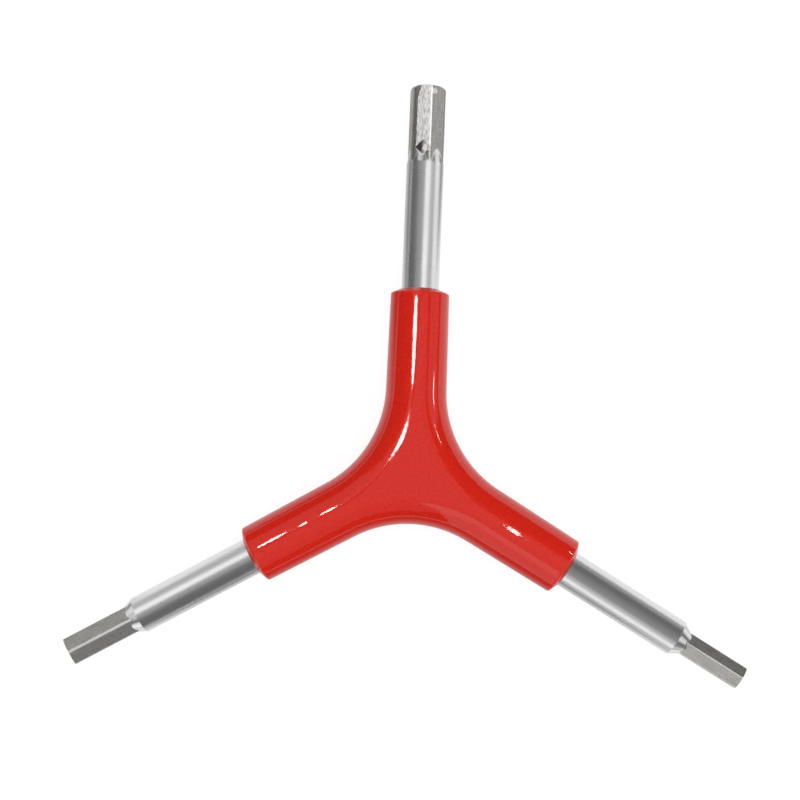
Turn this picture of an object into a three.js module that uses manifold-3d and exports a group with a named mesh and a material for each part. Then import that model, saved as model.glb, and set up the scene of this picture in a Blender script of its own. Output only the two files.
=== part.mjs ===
// A three-way hex key, or Y wrench. Three round steel shanks, welded together where their mitred inner
// ends meet, stand at 120 degrees in one soft moulded handle, and each ends in a hex tip of its own size.
//
// Lengths are in millimetres and +Z is up. The wrench lies flat: the underside of the handle's hub rests
// on z = 0 with its centre at the origin, and the arm with the large hex points along +Y.

import * as THREE from "three";
import { mergeGeometries, mergeVertices } from "three/addons/utils/BufferGeometryUtils.js";
import Module from "manifold-3d";

const wasm = await Module();
wasm.setup();

// Hex tips, across flats.
const LARGE_HEX = 6;
const MIDDLE_HEX = 5;
const SMALL_HEX = 4;

// Steel shanks.
const ARM_LENGTH = 70; // hub centre to the end of a tip
const SHANK_STOCK = 0.7; // what the shank is thicker than the largest hex is across its flats
const TIP_LENGTH = 13.6; // from the end of the round shank to the end of the tip
const SHOULDER_LENGTH = 1.9; // the cone between the round shank and the flats
const LARGE_TIP_CHAMFER = 0.85; // taken off the flats at the end of the tip
const MIDDLE_TIP_CHAMFER = 0.4;
const SMALL_TIP_CHAMFER = 0.35;

// Moulded handle.
const HANDLE_REACH = 32.5; // hub centre to an end face
const HANDLE_WALL = 1.95; // round the shank at an end face
const HANDLE_DRAFT = 0.2; // what the radius gains from an end face to the hub
const CROTCH_RADIUS = 20.6; // the hollow curve between two arms
const RIM_RADIUS = 0.4; // rounding of an end face's rim

// Welds in the crotches between the shanks.
const WELD_RADIUS = 1.2;
const WELD_REACH_DEGREES = 55; // how far a bead climbs round its seam, up and down from the crotch

// Clearances between neighbours.
const SHANK_CLEARANCE = 0.3; // handle to shank
const WELD_CLEARANCE = 0.3; // bead to shank, and handle to bead
const MITRE_GAP = 0.3; // between the mitred ends of two shanks

// How finely the round shapes are cut.
const SHANK_SIDES = 48;
const HANDLE_HALF_SIDES = 16;
const ARM_STEPS = 3;
const CROTCH_STEPS = 14;
const RIM_STEPS = 3;
const WELD_STEPS = 10;
const WELD_SIDES = 12;
const MERGE_DISTANCE = 1e-4;

// The arms, in the order in which they stand round the hub. A hex that isn't turned has a flat on top.
const ARMS = [
  { name: "large", hex: LARGE_HEX, chamfer: LARGE_TIP_CHAMFER, turnDegrees: -18 },
  { name: "middle", hex: MIDDLE_HEX, chamfer: MIDDLE_TIP_CHAMFER, turnDegrees: 30 },
  { name: "small", hex: SMALL_HEX, chamfer: SMALL_TIP_CHAMFER, turnDegrees: 21 },
];

// Sizes worked out from the ones above.
const ARM_ANGLE = (2 * Math.PI) / ARMS.length;
const HALF_ANGLE = ARM_ANGLE / 2;
const BEND_ANGLE = Math.PI - ARM_ANGLE;
const HEX_SIDES = 6;
const HEX_HALF_SIDE_ANGLE = Math.PI / HEX_SIDES;
const SHANK_RADIUS = (Math.max(LARGE_HEX, MIDDLE_HEX, SMALL_HEX) + SHANK_STOCK) / 2;
const SHOULDER_START = ARM_LENGTH - TIP_LENGTH;
const SHOULDER_END = SHOULDER_START + SHOULDER_LENGTH;
const BORE_RADIUS = SHANK_RADIUS + SHANK_CLEARANCE;
const END_RADIUS = SHANK_RADIUS + HANDLE_WALL;
const HUB_RADIUS = END_RADIUS + HANDLE_DRAFT;
const SEAM_HALF_WIDTH = SHANK_RADIUS / Math.sin(HALF_ANGLE);
const BEND_RADIUS = CROTCH_RADIUS + HUB_RADIUS;
const BEND_CENTRE = BEND_RADIUS / Math.sin(HALF_ANGLE);
const BEND_START = BEND_CENTRE * Math.cos(HALF_ANGLE);

// A closed three.js geometry as a solid that can be joined and cut.
function solid(geometry) {
  geometry.deleteAttribute("normal");
  geometry.deleteAttribute("uv");
  const merged = mergeVertices(geometry, MERGE_DISTANCE);
  const mesh = new wasm.Mesh({
    numProp: 3,
    vertProperties: new Float32Array(merged.attributes.position.array),
    triVerts: new Uint32Array(merged.index.array),
  });
  return new wasm.Manifold(mesh);
}

// A joined and cut solid as a three.js geometry again.
function geometryOf(body) {
  const mesh = body.getMesh();
  const geometry = new THREE.BufferGeometry();
  geometry.setAttribute("position", new THREE.BufferAttribute(mesh.vertProperties, mesh.numProp));
  geometry.setIndex(new THREE.BufferAttribute(mesh.triVerts, 1));
  const flatShaded = geometry.toNonIndexed();
  flatShaded.computeVertexNormals();
  return flatShaded;
}

// A round body about +Y, the way that every arm points in its own frame. The profile is a list of
// [radius, distance along the arm] that starts and ends on the axis.
function turned(profile) {
  const points = profile.map(([radius, along]) => new THREE.Vector2(radius, along));
  return new THREE.LatheGeometry(points, SHANK_SIDES);
}

// The arms follow each other round the hub, against the clock as seen from above.
function armTurn(index) {
  return index * ARM_ANGLE;
}

// A plain rod along one arm from the hub's centre, for cutting. Three of them make the mitred frame.
function rod(index, radius) {
  const profile = [
    [0, 0],
    [radius, 0],
    [radius, ARM_LENGTH],
    [0, ARM_LENGTH],
  ];
  return solid(turned(profile).rotateZ(armTurn(index)));
}

// The space that the steel of the arm along +Y may fill, between its two mitre planes.
function mitreWedge() {
  const tip = MITRE_GAP / 2 / Math.sin(HALF_ANGLE);
  const halfWidth = (ARM_LENGTH - tip) * Math.tan(HALF_ANGLE);
  const outline = new THREE.Shape();
  outline.moveTo(0, tip);
  outline.lineTo(halfWidth, ARM_LENGTH);
  outline.lineTo(-halfWidth, ARM_LENGTH);
  outline.closePath();
  const height = 2 * BORE_RADIUS;
  const wedge = new THREE.ExtrudeGeometry(outline, { depth: height, bevelEnabled: false });
  return solid(wedge.translate(0, 0, -height / 2));
}

// One piece of steel along +Y: a round shank, a short cone, and a hex formed from the same bar. The end
// of the hex is chamfered at 45 degrees, and corners that stand past the bar keep the bar's roundness.
function shaftSolid({ hex, chamfer, turnDegrees }) {
  const flatRadius = hex / 2;
  const cornerRadius = flatRadius / Math.cos(HEX_HALF_SIDE_ANGLE);
  const endRadius = flatRadius - chamfer;
  const shank = turned([
    [0, 0],
    [SHANK_RADIUS, 0],
    [SHANK_RADIUS, SHOULDER_START],
    [flatRadius, SHOULDER_END],
    [0, SHOULDER_END],
  ]);
  const bar = turned([
    [0, 0],
    [SHANK_RADIUS, 0],
    [SHANK_RADIUS, ARM_LENGTH - (SHANK_RADIUS - endRadius)],
    [endRadius, ARM_LENGTH],
    [0, ARM_LENGTH],
  ]);
  const hexStart = SHOULDER_START - SHOULDER_LENGTH;
  const hexLength = ARM_LENGTH - hexStart;
  const prism = new THREE.CylinderGeometry(cornerRadius, cornerRadius, hexLength, HEX_SIDES);
  prism.translate(0, hexStart + hexLength / 2, 0);
  prism.rotateY(HEX_HALF_SIDE_ANGLE + THREE.MathUtils.degToRad(turnDegrees));
  const tip = solid(prism).intersect(solid(bar));
  return solid(shank).add(tip).intersect(mitreWedge());
}

// The seam where two shanks meet on their mitre plane is half of an ellipse that runs from the top of the
// frame through the crotch to its underside. Here the crotch lies along +Y.
class SeamCurve extends THREE.Curve {
  constructor(reach) {
    super();
    this.reach = reach;
  }

  getPoint(share, target = new THREE.Vector3()) {
    const angle = this.reach * (2 * share - 1);
    return target.set(0, SEAM_HALF_WIDTH * Math.cos(angle), SHANK_RADIUS * Math.sin(angle));
  }
}

// A round bead laid along the seam that follows one arm.
function seamBead(index, radius, reach) {
  const section = new THREE.Shape();
  section.absarc(0, 0, radius, 0, 2 * Math.PI, false);
  const bead = new THREE.ExtrudeGeometry(section, {
    extrudePath: new SeamCurve(reach),
    steps: WELD_STEPS,
    curveSegments: WELD_SIDES,
  });
  return solid(bead.rotateZ(armTurn(index) + HALF_ANGLE));
}

// The bead's part outside the two shanks that it joins.
const WELD_REACH = THREE.MathUtils.degToRad(WELD_REACH_DEGREES);
function weldSolid(index) {
  const shankAndGap = SHANK_RADIUS + WELD_CLEARANCE;
  return seamBead(index, WELD_RADIUS, WELD_REACH)
    .subtract(rod(index, shankAndGap))
    .subtract(rod(index + 1, shankAndGap));
}

// The handle's skin between two arms is half of a pipe. Its centre line runs in along one arm, round the
// crotch and out along the next. A station is a point of that line, with the direction of the crotch
// there and the pipe's radius.
function armStations() {
  const stations = [];
  for (let step = 0; step <= RIM_STEPS; step++) {
    const angle = (step / RIM_STEPS) * (Math.PI / 2);
    stations.push({
      along: HANDLE_REACH - RIM_RADIUS * (1 - Math.cos(angle)),
      radius: END_RADIUS - RIM_RADIUS * (1 - Math.sin(angle)),
    });
  }
  const rimEnd = HANDLE_REACH - RIM_RADIUS;
  for (let step = 1; step <= ARM_STEPS; step++) {
    const share = step / ARM_STEPS;
    stations.push({
      along: THREE.MathUtils.lerp(rimEnd, BEND_START, share),
      radius: THREE.MathUtils.lerp(END_RADIUS, HUB_RADIUS, share),
    });
  }
  return stations;
}

function turnedAside(x, y, angle) {
  return new THREE.Vector2(x, y).rotateAround(new THREE.Vector2(), angle);
}

function pipeStations() {
  const towardsHub = armStations();
  const inward = towardsHub.map(({ along, radius }) => {
    return { point: turnedAside(0, along, 0), crotchward: turnedAside(-1, 0, 0), radius };
  });
  const outward = towardsHub.reverse().map(({ along, radius }) => {
    return { point: turnedAside(0, along, ARM_ANGLE), crotchward: turnedAside(1, 0, ARM_ANGLE), radius };
  });
  const bend = [];
  for (let step = 1; step < CROTCH_STEPS; step++) {
    const crotchward = turnedAside(-1, 0, (-BEND_ANGLE * step) / CROTCH_STEPS);
    const point = turnedAside(0, BEND_CENTRE, HALF_ANGLE).addScaledVector(crotchward, -BEND_RADIUS);
    bend.push({ point, crotchward, radius: HUB_RADIUS });
  }
  return [...inward, ...bend, ...outward];
}

// The outside of the handle, closed by a flat on top, a flat underneath and three end faces.
function handleOutside() {
  const triangles = [];
  const quad = (a, b, c, d) => triangles.push(a, b, c, a, c, d);
  const stations = pipeStations();
  const rings = stations.map(({ point, crotchward, radius }) => {
    const ring = [];
    for (let side = 0; side <= HANDLE_HALF_SIDES; side++) {
      const angle = Math.PI / 2 - (Math.PI * side) / HANDLE_HALF_SIDES;
      const out = point.clone().addScaledVector(crotchward, radius * Math.cos(angle));
      ring.push(new THREE.Vector3(out.x, out.y, radius * Math.sin(angle)));
    }
    return ring;
  });
  for (let station = 1; station < rings.length; station++) {
    for (let side = 1; side <= HANDLE_HALF_SIDES; side++) {
      const [before, after] = [rings[station - 1], rings[station]];
      quad(before[side - 1], before[side], after[side], after[side - 1]);
    }
  }
  const lastSide = HANDLE_HALF_SIDES;
  const hubTop = new THREE.Vector3(0, 0, HUB_RADIUS);
  const hubUnderside = new THREE.Vector3(0, 0, -HUB_RADIUS);
  const bendFirst = RIM_STEPS + ARM_STEPS;
  for (let station = bendFirst; station < bendFirst + CROTCH_STEPS; station++) {
    triangles.push(hubTop, rings[station][0], rings[station + 1][0]);
    triangles.push(hubUnderside, rings[station + 1][lastSide], rings[station][lastSide]);
  }
  const firstEnd = new THREE.Vector3(0, HANDLE_REACH, 0);
  const lastEnd = firstEnd.clone().applyAxisAngle(new THREE.Vector3(0, 0, 1), ARM_ANGLE);
  const lastRing = rings[rings.length - 1];
  for (let side = 1; side <= HANDLE_HALF_SIDES; side++) {
    triangles.push(firstEnd, rings[0][side], rings[0][side - 1]);
    triangles.push(lastEnd, lastRing[side - 1], lastRing[side]);
  }
  const third = new THREE.BufferGeometry().setFromPoints(triangles);
  const thirds = ARMS.map((arm, index) => third.clone().rotateZ(armTurn(index)));
  return solid(mergeGeometries(thirds));
}

function handleSolid() {
  let body = handleOutside();
  ARMS.forEach((arm, index) => {
    body = body.subtract(rod(index, BORE_RADIUS));
    const reach = WELD_REACH + WELD_CLEARANCE / SHANK_RADIUS;
    body = body.subtract(seamBead(index, WELD_RADIUS + WELD_CLEARANCE, reach));
  });
  return body;
}

// Finishes.
const plated = { color: 0xc9cacc, roughness: 0.2, metalness: 1 };
const welded = { color: 0x77736d, roughness: 0.6, metalness: 0.9 };
const moulded = { color: 0xd02a1e, roughness: 0.25, metalness: 0 };

function piece(name, body, finish) {
  const mesh = new THREE.Mesh(geometryOf(body), new THREE.MeshStandardMaterial(finish));
  mesh.name = name;
  return mesh;
}

// The assembly. The hub group carries everything at the height of the shanks' axes.
const wrench = new THREE.Group();
const hub = new THREE.Group();
hub.position.z = HUB_RADIUS;
wrench.add(hub);

hub.add(piece("handle", handleSolid(), moulded));
ARMS.forEach((arm, index) => {
  const next = ARMS[(index + 1) % ARMS.length];
  const shaft = piece(`${arm.name}_hex_shaft`, shaftSolid(arm), plated);
  shaft.rotation.z = armTurn(index);
  hub.add(shaft);
  hub.add(piece(`weld_${arm.name}_${next.name}`, weldSolid(index), welded));
});

export default wrench;
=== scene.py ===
# %% [markdown]
# A Y wrench is three hex keys in one tool. Three round plated steel arms meet at 120 degrees in a red
# moulded handle, and each arm ends in a hexagonal tip of its own size. The construction is fixed by the
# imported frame, so every size here that has to agree with it is measured on it and not typed again.

# %% Load the frame and measure it
import math

import bmesh
import bpy
from mathutils import Matrix, Vector


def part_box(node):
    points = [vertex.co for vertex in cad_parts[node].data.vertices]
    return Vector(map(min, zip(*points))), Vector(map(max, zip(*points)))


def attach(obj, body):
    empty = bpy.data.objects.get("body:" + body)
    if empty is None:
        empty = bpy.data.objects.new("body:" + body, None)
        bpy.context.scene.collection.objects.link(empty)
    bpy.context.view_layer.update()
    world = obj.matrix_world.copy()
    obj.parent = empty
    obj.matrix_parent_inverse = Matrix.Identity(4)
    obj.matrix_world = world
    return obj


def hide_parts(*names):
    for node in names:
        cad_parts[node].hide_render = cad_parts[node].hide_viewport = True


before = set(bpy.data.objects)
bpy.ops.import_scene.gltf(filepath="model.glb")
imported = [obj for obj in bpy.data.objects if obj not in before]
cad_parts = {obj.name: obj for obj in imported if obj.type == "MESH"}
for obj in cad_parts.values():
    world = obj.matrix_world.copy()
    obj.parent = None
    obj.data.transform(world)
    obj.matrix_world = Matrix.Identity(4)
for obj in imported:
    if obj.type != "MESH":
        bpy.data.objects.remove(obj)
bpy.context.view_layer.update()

MM = 0.001
handle_low, handle_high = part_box("handle")
shaft_low, shaft_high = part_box("large_hex_shaft")
AXIS_HEIGHT = (handle_low.z + handle_high.z) / 2
HUB_RADIUS = (handle_high.z - handle_low.z) / 2
HANDLE_REACH = handle_high.y
ARM_LENGTH = shaft_high.y
SHANK_RADIUS = (shaft_high.z - shaft_low.z) / 2
print("arm length", ARM_LENGTH, "shank radius", SHANK_RADIUS, "handle reach", HANDLE_REACH)

# %% [markdown]
# The photograph looks straight down on the flat wrench, and its big arm leans a little to the right. A
# camera could be tilted to frame it, but then the arms would draw together. So it looks square to the
# floor from right over the hub, is turned by the lean, and its shift puts the hub on the pixel where the
# photograph has it.

# %% Set up the camera
PHOTO_PIXELS = 800
HUB_PIXEL = (413.0, 471.5)
PICTURE_CENTRE = 0.5
PIXELS_PER_MM = 5.53
LEAN = math.radians(2.30)
CAMERA_HEIGHT = 271 * MM
SENSOR_WIDTH = 36.0
NEAREST = 10 * MM
FARTHEST = 100.0

camera_data = bpy.data.cameras.new("camera")
camera = bpy.data.objects.new("camera", camera_data)
bpy.context.scene.collection.objects.link(camera)
bpy.context.scene.camera = camera
view_width = PHOTO_PIXELS / PIXELS_PER_MM * MM
camera_data.sensor_width = SENSOR_WIDTH
camera_data.lens = SENSOR_WIDTH * CAMERA_HEIGHT / view_width
camera_data.shift_x = PICTURE_CENTRE - HUB_PIXEL[0] / PHOTO_PIXELS
camera_data.shift_y = HUB_PIXEL[1] / PHOTO_PIXELS - PICTURE_CENTRE
camera_data.clip_start = NEAREST
camera_data.clip_end = FARTHEST
camera.location = (0, 0, AXIS_HEIGHT + CAMERA_HEIGHT)
camera.rotation_euler = (0, 0, LEAN)
bpy.context.scene.view_settings.view_transform = "Standard"
print("lens", round(camera_data.lens, 1), "shift", camera_data.shift_x, camera_data.shift_y)

# %% [markdown]
# A finish is a node tree around one Principled shader. Noise on object coordinates gives it grain at a
# real scale: the coordinates are metres, so one over the grain's length is the noise's scale. Noise seldom
# strays far from its middle value, so the stretch round it is spread over the range that is wanted.

# %% Helpers that start a finish
GRAIN_DETAIL = 2.0
NOISE_LOW = 0.35
NOISE_HIGH = 0.65


def new_finish(name):
    material = bpy.data.materials.new(name)
    material.use_nodes = True
    return material, material.node_tree, material.node_tree.nodes["Principled BSDF"]


def grain(tree, length, detail=GRAIN_DETAIL):
    """Noise with features of the given length."""
    place = tree.nodes.new("ShaderNodeTexCoord")
    noise = tree.nodes.new("ShaderNodeTexNoise")
    noise.inputs["Scale"].default_value = 1 / length
    noise.inputs["Detail"].default_value = detail
    tree.links.new(place.outputs["Object"], noise.inputs["Vector"])
    return noise.outputs["Fac"]


def ranged(tree, value, low, high):
    """The middle part of a noise, spread over the range from low to high."""
    spread = tree.nodes.new("ShaderNodeMapRange")
    spread.inputs["From Min"].default_value = NOISE_LOW
    spread.inputs["From Max"].default_value = NOISE_HIGH
    spread.inputs["To Min"].default_value = low
    spread.inputs["To Max"].default_value = high
    tree.links.new(value, spread.inputs["Value"])
    return spread.outputs["Result"]


def painted(tree, name):
    """The value that a piece's vertices carry under a name."""
    attribute = tree.nodes.new("ShaderNodeAttribute")
    attribute.attribute_name = name
    return attribute.outputs["Fac"]


print("noise is used from", NOISE_LOW, "to", NOISE_HIGH)


# %% Helpers that mix and bump
def set_or_link(tree, value, socket):
    """Gives a socket a colour, a number or another node's output."""
    if isinstance(value, tuple):
        socket.default_value = (*value, 1)
    elif isinstance(value, float):
        socket.default_value = value
    else:
        tree.links.new(value, socket)


def mixed_value(tree, share, first, second, data_type="FLOAT"):
    """A blend of two values; they and the share are each a number or another node's output."""
    mix = tree.nodes.new("ShaderNodeMix")
    mix.data_type = data_type
    set_or_link(tree, share, mix.inputs["Factor"])
    set_or_link(tree, first, mix.inputs["A"])
    set_or_link(tree, second, mix.inputs["B"])
    return mix.outputs["Result"]


def mixed_colour(tree, share, first, second):
    """A blend of two colours, each a tuple or another node's output."""
    return mixed_value(tree, share, first, second, data_type="RGBA")


def bumped(tree, height, depth, under=None):
    """A bump of the given depth, on top of another one where under is given."""
    bump = tree.nodes.new("ShaderNodeBump")
    bump.inputs["Distance"].default_value = depth
    tree.links.new(height, bump.inputs["Height"])
    if under is not None:
        tree.links.new(under, bump.inputs["Normal"])
    return bump.outputs["Normal"]


print("finishes can be mixed and bumped")

# %% [markdown]
# The handle is soft PVC out of a polished mould: a deep, even red with a wet gloss. Up close it isn't
# perfect. The colour is faintly mottled, the skin has a fine orange peel, and it swells and sinks a little
# as it shrank on the steel. A picture could carry all that, but noise needs no unwrapping and keeps its
# real size.

# %% The red PVC
PVC_RED = (0.64, 0.014, 0.004)
PVC_DEEP_RED = (0.57, 0.010, 0.003)
PVC_SCUFFED = (0.70, 0.060, 0.045)
PVC_IOR = 1.5
PVC_ROUGHNESS = (0.04, 0.07)
RIM_ROUGHNESS = 0.3
MOTTLE_LENGTH = 0.5 * MM
PEEL_LENGTH = 0.7 * MM
PEEL_DETAIL = 1.0
PEEL_DEPTH = 0.006 * MM
SWELL_LENGTH = 7 * MM
SWELL_DETAIL = 0.0
SWELL_DEPTH = 0.03 * MM

red_pvc, tree, shader = new_finish("red PVC")
rim = painted(tree, "rim")
mottled = mixed_colour(tree, ranged(tree, grain(tree, MOTTLE_LENGTH), 0, 1), PVC_RED, PVC_DEEP_RED)
tree.links.new(mixed_colour(tree, rim, mottled, PVC_SCUFFED), shader.inputs["Base Color"])
gloss = ranged(tree, grain(tree, SWELL_LENGTH), *PVC_ROUGHNESS)
tree.links.new(mixed_value(tree, rim, gloss, RIM_ROUGHNESS), shader.inputs["Roughness"])
swell = bumped(tree, grain(tree, SWELL_LENGTH, SWELL_DETAIL), SWELL_DEPTH)
peel = bumped(tree, grain(tree, PEEL_LENGTH, PEEL_DETAIL), PEEL_DEPTH, under=swell)
tree.links.new(peel, shader.inputs["Normal"])
shader.inputs["IOR"].default_value = PVC_IOR
print("red PVC has", len(tree.nodes), "nodes")

# %% [markdown]
# The arms are one bar each, but they have more than one finish. The round part is ground and plated, so it
# shines like a soft mirror. The flats of the hex were pressed, and they are duller, with a fine tooth and
# faint streaks along the bar, and each flat has its own grey, painted lighter or darker for the light that
# falls on it. Wear has rubbed the upper ridges, and a painted highlight lies on them as a paler line,
# painted shade darkens the folds of the shoulder, and on the large hex one flat is chipped bare. Four
# separate pieces of metal would be wrong, so one material mixes the finishes, and the vertices carry where
# each one lies, along with the place in the bar that the streaks follow.

# %% Helpers for worn steel
EDGE_FROM = 0.4
EDGE_TO = 0.6


def drawn_grain(tree, length, stretch):
    """Noise drawn out along a bar: it lies on the place in the bar that the bar's vertices carry."""
    place = tree.nodes.new("ShaderNodeAttribute")
    place.attribute_name = "in_bar"
    squeeze = tree.nodes.new("ShaderNodeMapping")
    squeeze.inputs["Scale"].default_value = (1, 1 / stretch, 1)
    noise = tree.nodes.new("ShaderNodeTexNoise")
    noise.inputs["Scale"].default_value = 1 / length
    noise.inputs["Detail"].default_value = GRAIN_DETAIL
    tree.links.new(place.outputs["Vector"], squeeze.inputs["Vector"])
    tree.links.new(squeeze.outputs["Vector"], noise.inputs["Vector"])
    return noise.outputs["Fac"]


def added_value(tree, first, second):
    total = tree.nodes.new("ShaderNodeMath")
    tree.links.new(first, total.inputs[0])
    tree.links.new(second, total.inputs[1])
    return total.outputs[0]


def edged(tree, mask, noise, raggedness):
    """A mask with a ragged edge: the noise pushes it over or under a half before it is cut there."""
    push = tree.nodes.new("ShaderNodeMath")
    push.operation = "MULTIPLY_ADD"
    push.inputs[1].default_value = raggedness
    push.inputs[2].default_value = -raggedness / 2
    tree.links.new(noise, push.inputs[0])
    cut = tree.nodes.new("ShaderNodeMapRange")
    cut.inputs["From Min"].default_value = EDGE_FROM
    cut.inputs["From Max"].default_value = EDGE_TO
    tree.links.new(added_value(tree, mask, push.outputs[0]), cut.inputs["Value"])
    return cut.outputs["Result"]


print("a painted edge is cut from", EDGE_FROM, "to", EDGE_TO)

# %% Where each finish of the steel lies
CHIP_LENGTH = 0.20 * MM
CHIP_STRETCH = 5.0
STREAK_LENGTH = 0.16 * MM
STREAK_STRETCH = 14.0
TOOTH_LENGTH = 0.22 * MM
CORNER_RAGGEDNESS = 0.6
SCUFF_RAGGEDNESS = 1.2

plated_steel, tree, shader = new_finish("plated steel")
flat = painted(tree, "flat")
chips = drawn_grain(tree, CHIP_LENGTH, CHIP_STRETCH)
streaks = drawn_grain(tree, STREAK_LENGTH, STREAK_STRETCH)
tooth = grain(tree, TOOTH_LENGTH)
# worn corners, which also carry the painted highlight of the upper ridges and of the dent's streak
wear_and_highlight = edged(tree, painted(tree, "wear_and_highlight"), tooth, CORNER_RAGGEDNESS)
scuff = edged(tree, painted(tree, "scuff"), chips, SCUFF_RAGGEDNESS)
print("the masks take", len(tree.nodes), "nodes")

# %% The colours of the steel
PLATE_GREY = (0.74, 0.74, 0.745)
FLAT_LIGHT_GREY = (0.72, 0.705, 0.68)
FLAT_DARK_GREY = (0.16, 0.15, 0.14)
CORNER_GREY = (0.52, 0.51, 0.495)
RIDGE_HIGHLIGHT_GREY = (0.86, 0.855, 0.845)
SCUFF_GREY = (0.78, 0.77, 0.76)
SCUFF_DARK_GREY = (0.40, 0.39, 0.385)
# painted shade for the folds of the shoulder and the dent
PAINTED_SHADE_GREY = (0.07, 0.065, 0.06)
SHADE_SPREAD = 0.2
TOOTH_SHARE = 0.6

streak_shade = ranged(tree, streaks, -SHADE_SPREAD, SHADE_SPREAD)
tooth_shade = ranged(tree, tooth, -SHADE_SPREAD, SHADE_SPREAD)
patches = mixed_value(tree, TOOTH_SHARE, streak_shade, tooth_shade)
# the flats' painted light, with the streaks and tooth of the grain on top
flat_light_paint = added_value(tree, painted(tree, "flat_light_paint"), patches)
# the pressed flats' grey runs from dark to light with that painted light
pressed = mixed_colour(tree, flat_light_paint, FLAT_DARK_GREY, FLAT_LIGHT_GREY)
chipped = mixed_colour(tree, ranged(tree, chips, 0, 1), SCUFF_GREY, SCUFF_DARK_GREY)
# the painted highlight on the ridges, from the corner grey to pale
ridge_highlight = mixed_colour(tree, painted(tree, "ridge_highlight"), CORNER_GREY, RIDGE_HIGHLIGHT_GREY)
worn_and_highlit = mixed_colour(tree, wear_and_highlight, mixed_colour(tree, scuff, pressed, chipped), ridge_highlight)
before_painted_shade = mixed_colour(tree, flat, PLATE_GREY, worn_and_highlit)
# painted shade darkens the folds of the shoulder and the shaded side of the dent
with_painted_shade = mixed_colour(tree, painted(tree, "painted_shade"), before_painted_shade, PAINTED_SHADE_GREY)
tree.links.new(with_painted_shade, shader.inputs["Base Color"])
print("with the colours", len(tree.nodes), "nodes")

# %% The gloss and the grain of the steel
PLATE_METALLIC = 1.0
FLAT_METALLIC = 0.8
CORNER_METALLIC = 0.3
SCUFF_METALLIC = 0.3
PLATE_ROUGHNESS = (0.27, 0.31)
FLAT_ROUGHNESS = 0.40
SCUFF_ROUGHNESS = 0.5
EVEN_HEIGHT = 0.5
TOOTH_DEPTH = 0.006 * MM
CHIP_DEPTH = 0.04 * MM

bare = mixed_value(tree, scuff, FLAT_METALLIC, SCUFF_METALLIC)
# the worn corners and the painted highlight are less metallic, so that they read pale
rubbed_and_highlit = mixed_value(tree, wear_and_highlight, bare, CORNER_METALLIC)
tree.links.new(mixed_value(tree, flat, PLATE_METALLIC, rubbed_and_highlit), shader.inputs["Metallic"])
dull = mixed_value(tree, scuff, FLAT_ROUGHNESS, SCUFF_ROUGHNESS)
plate_gloss = ranged(tree, grain(tree, SWELL_LENGTH), *PLATE_ROUGHNESS)
tree.links.new(mixed_value(tree, flat, plate_gloss, dull), shader.inputs["Roughness"])
bumps = bumped(tree, mixed_value(tree, flat, EVEN_HEIGHT, tooth), TOOTH_DEPTH)
bumps = bumped(tree, mixed_value(tree, scuff, EVEN_HEIGHT, chips), CHIP_DEPTH, under=bumps)
tree.links.new(bumps, shader.inputs["Normal"])
print("plated steel has", len(tree.nodes), "nodes")

# %% [markdown]
# The weld beads in the crotches between the arms are covered by the handle. Their ripples could be
# modelled, but nobody sees them. So they stay the frame's own solids and only get the dull, heat-tinted
# look of a weld that nobody cleaned, with the ripples as a bump.

# %% The welds
WELDS = ("weld_large_middle", "weld_middle_small", "weld_small_large")
WELD_GREY = (0.22, 0.20, 0.18)
WELD_BLUED = (0.10, 0.11, 0.15)
WELD_METALLIC = 0.9
WELD_ROUGHNESS = (0.45, 0.65)
RIPPLE_LENGTH = 0.8 * MM
RIPPLE_DEPTH = 0.05 * MM

weld_steel, tree, shader = new_finish("weld steel")
shader.inputs["Metallic"].default_value = WELD_METALLIC
ripple = grain(tree, RIPPLE_LENGTH)
tinted = mixed_colour(tree, ranged(tree, ripple, 0, 1), WELD_GREY, WELD_BLUED)
tree.links.new(tinted, shader.inputs["Base Color"])
tree.links.new(ranged(tree, ripple, *WELD_ROUGHNESS), shader.inputs["Roughness"])
tree.links.new(bumped(tree, ripple, RIPPLE_DEPTH), shader.inputs["Normal"])
for name in WELDS:
    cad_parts[name].material_slots[0].material = weld_steel
print(len(WELDS), "welds are of weld steel")

# %% [markdown]
# Every new piece goes through the same last step: its faces are turned outwards and shaded smooth, its
# sharp edges are marked, and its place is in its mesh, so that the object itself stays at the origin and a
# pattern on object coordinates fits the piece.

# %% A helper that turns a bmesh into a piece
BODY = "root"
SHARP_ANGLE = math.radians(22)


def lifted_to_axis(bm):
    bmesh.ops.translate(bm, verts=bm.verts[:], vec=(0, 0, AXIS_HEIGHT))


def make_piece(name, bm, node, material):
    bmesh.ops.recalc_face_normals(bm, faces=bm.faces[:])
    for face in bm.faces:
        face.smooth = True
    for edge in bm.edges:
        edge.smooth = edge.calc_face_angle(0) < SHARP_ANGLE
    mesh = bpy.data.meshes.new(name)
    bm.to_mesh(mesh)
    bm.free()
    mesh.materials.append(material)
    piece = bpy.data.objects.new(name, mesh)
    bpy.context.scene.collection.objects.link(piece)
    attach(piece, BODY)
    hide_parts(node)
    print(name, "has", len(mesh.polygons), "faces")
    return piece


print("pieces ride on", BODY)

# %% [markdown]
# Between two arms the handle's skin is half of a pipe. It could be three crossing cylinders with a fillet,
# but a fillet leaves a messy net where six edges meet. Half a pipe is cleaner: one vertex is spun into a
# half circle, the half circle is spun round the crotch and drawn out along the arm, and the result is
# mirrored and turned into place three times. A pipe leaves a three-pointed hole on top and underneath,
# which is the flat that the photograph shows on the hub.

# %% Draw half pipes round a crotch
ARM_COUNT = 3
ARM_TURN = math.tau / ARM_COUNT
HALF_BEND = (math.pi - ARM_TURN) / 2
MERGE_DISTANCE = 0.001 * MM
SKIN_HALF_SIDES = 36
CROTCH_STEPS = 12


def turned_about_z(angle):
    return Matrix.Rotation(angle, 4, "Z")


def all_of(bm):
    return bm.verts[:] + bm.edges[:] + bm.faces[:]


def verts_in(items):
    return [item for item in items if isinstance(item, bmesh.types.BMVert)]


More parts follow.
